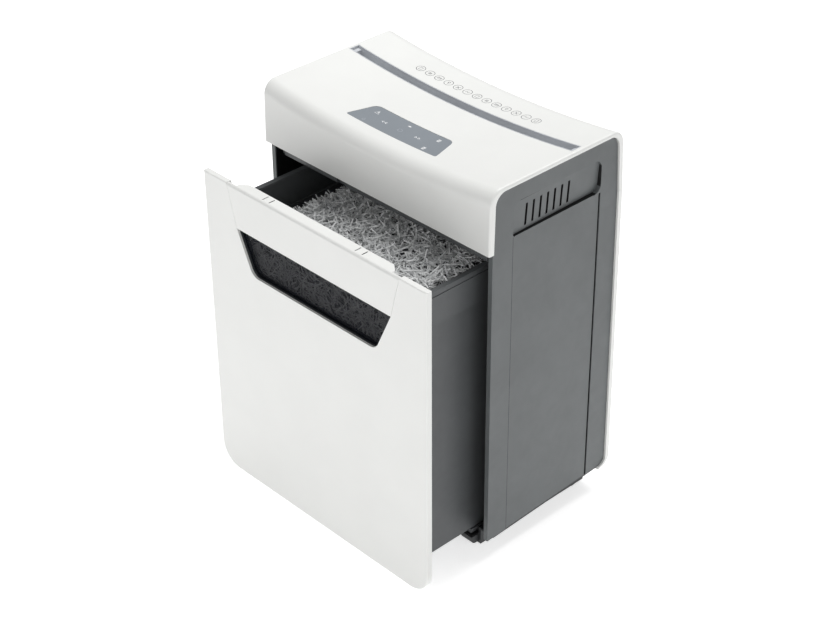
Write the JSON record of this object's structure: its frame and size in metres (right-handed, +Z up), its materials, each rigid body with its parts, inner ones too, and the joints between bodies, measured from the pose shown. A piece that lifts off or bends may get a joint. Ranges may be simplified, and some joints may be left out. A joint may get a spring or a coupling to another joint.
{
  "type": "paper shredder",
  "caption": "Compact desk-side paper shredder: dipped white head with feed slot and touch panel over a pull-out grey waste bin with a smoked window.",
  "frame": {"origin": "on the floor, under the middle of the footprint with the drawer standing part-way out", "axes": "+X to the right seen from the front, +Y to the back, +Z up; the drawer pulls out along -Y"},
  "size_m": [0.3, 0.2534, 0.4057],
  "materials": {
    "white_plastic": "satin white moulding",
    "grey_plastic": "fine-grained mid grey",
    "dark_plastic": "dark grey moulding",
    "black_plastic": "black",
    "panel_grey": "smooth grey film",
    "slot_grey": "satin grey",
    "frame_grey": "satin grey",
    "bin_grey": "fine-grained grey",
    "steel": "plated steel",
    "cutter_steel": "oiled hardened steel",
    "gear_steel": "sintered steel",
    "gear_plastic": "natural acetal",
    "brass": "plain bearing bronze",
    "rubber": "matt",
    "circuit_board": "green laminate",
    "component_black": "moulded case",
    "plunger_red": "plain",
    "shredded_paper": "loose strips",
    "smoked_glass": "smoked clear plastic"
  },
  "bodies": {
    "housing": {"head_cover": "white_plastic", "control_panel_overlay": "panel_grey", "feed_slot_guide": "slot_grey", "right_side_panel": "grey_plastic", "left_side_panel": "grey_plastic", "rear_cover": "white_plastic", "base_frame": "dark_plastic", "rubber_feet": "rubber", "glide_strips": "black_plastic", "head_chassis": "dark_plastic", "cover_screws": "steel", "left_cutter_plate": "steel", "right_cutter_plate": "steel", "cutter_tie_rods": "steel", "cutter_bushes": "brass", "front_stripper_comb": "black_plastic", "rear_stripper_comb": "black_plastic", "gearbox_cover": "dark_plastic", "idler_axle": "steel", "motor_can": "steel", "motor_end_cap": "black_plastic", "motor_screws": "steel", "control_board": "circuit_board", "power_board": "circuit_board", "board_components": "component_black", "paper_sensor_pair": "component_black", "interlock_switch": "component_black", "mains_switch_body": "black_plastic", "cable_gland": "black_plastic"},
    "drawer": {"drawer_front": "white_plastic", "pull_flap": "white_plastic", "window_frame": "frame_grey", "window_pane": "smoked_glass", "waste_bin": "bin_grey", "drawer_front_screws": "steel", "shred_heap": "shredded_paper"},
    "front_roller": {"front_cutter_roller": "cutter_steel", "front_roller_drive_gear": "gear_plastic", "front_roller_sync_gear": "gear_steel"},
    "rear_roller": {"rear_cutter_roller": "cutter_steel", "rear_roller_sync_gear": "gear_steel"},
    "intermediate_shaft": {"intermediate_gear": "gear_plastic"},
    "motor_shaft": {"motor_rotor": "steel", "motor_pinion": "brass", "motor_fan": "black_plastic"},
    "plunger": {"interlock_plunger": "plunger_red"},
    "rocker": {"mains_rocker": "black_plastic"}
  },
  "joints": [
    {"name": "drawer_slide", "type": "slide", "parent": "housing", "child": "drawer", "axis": [0, -1, 0], "range_m": [-0.075, 0.06]},
    {"name": "front_roller_spin", "type": "hinge", "parent": "housing", "child": "front_roller", "pos_m": [0, 0.04495, 0.356], "axis": [1, 0, 0], "continuous": true},
    {"name": "rear_roller_spin", "type": "hinge", "parent": "housing", "child": "rear_roller", "pos_m": [0, 0.07595, 0.356], "axis": [1, 0, 0], "continuous": true},
    {"name": "intermediate_gear_spin", "type": "hinge", "parent": "housing", "child": "intermediate_shaft", "pos_m": [0, 0.01949, 0.3664], "axis": [1, 0, 0], "continuous": true},
    {"name": "motor_spin", "type": "hinge", "parent": "housing", "child": "motor_shaft", "pos_m": [0, -0.00475, 0.357], "axis": [1, 0, 0], "continuous": true},
    {"name": "interlock_plunger_slide", "type": "slide", "parent": "housing", "child": "plunger", "axis": [0, 1, 0], "range_m": [0, 0.002], "stiffness_N_per_m": 150},
    {"name": "mains_rocker_tilt", "type": "hinge", "parent": "housing", "child": "rocker", "pos_m": [0.096, 0.11792, 0.367], "axis": [1, 0, 0], "range_deg": [-20, 0]}
  ],
  "couplings": [
    {"joint": "rear_roller_spin", "follows": "front_roller_spin", "ratio": -1},
    {"joint": "intermediate_gear_spin", "follows": "front_roller_spin", "ratio": -3.4},
    {"joint": "motor_spin", "follows": "front_roller_spin", "ratio": 14.28}
  ]
}
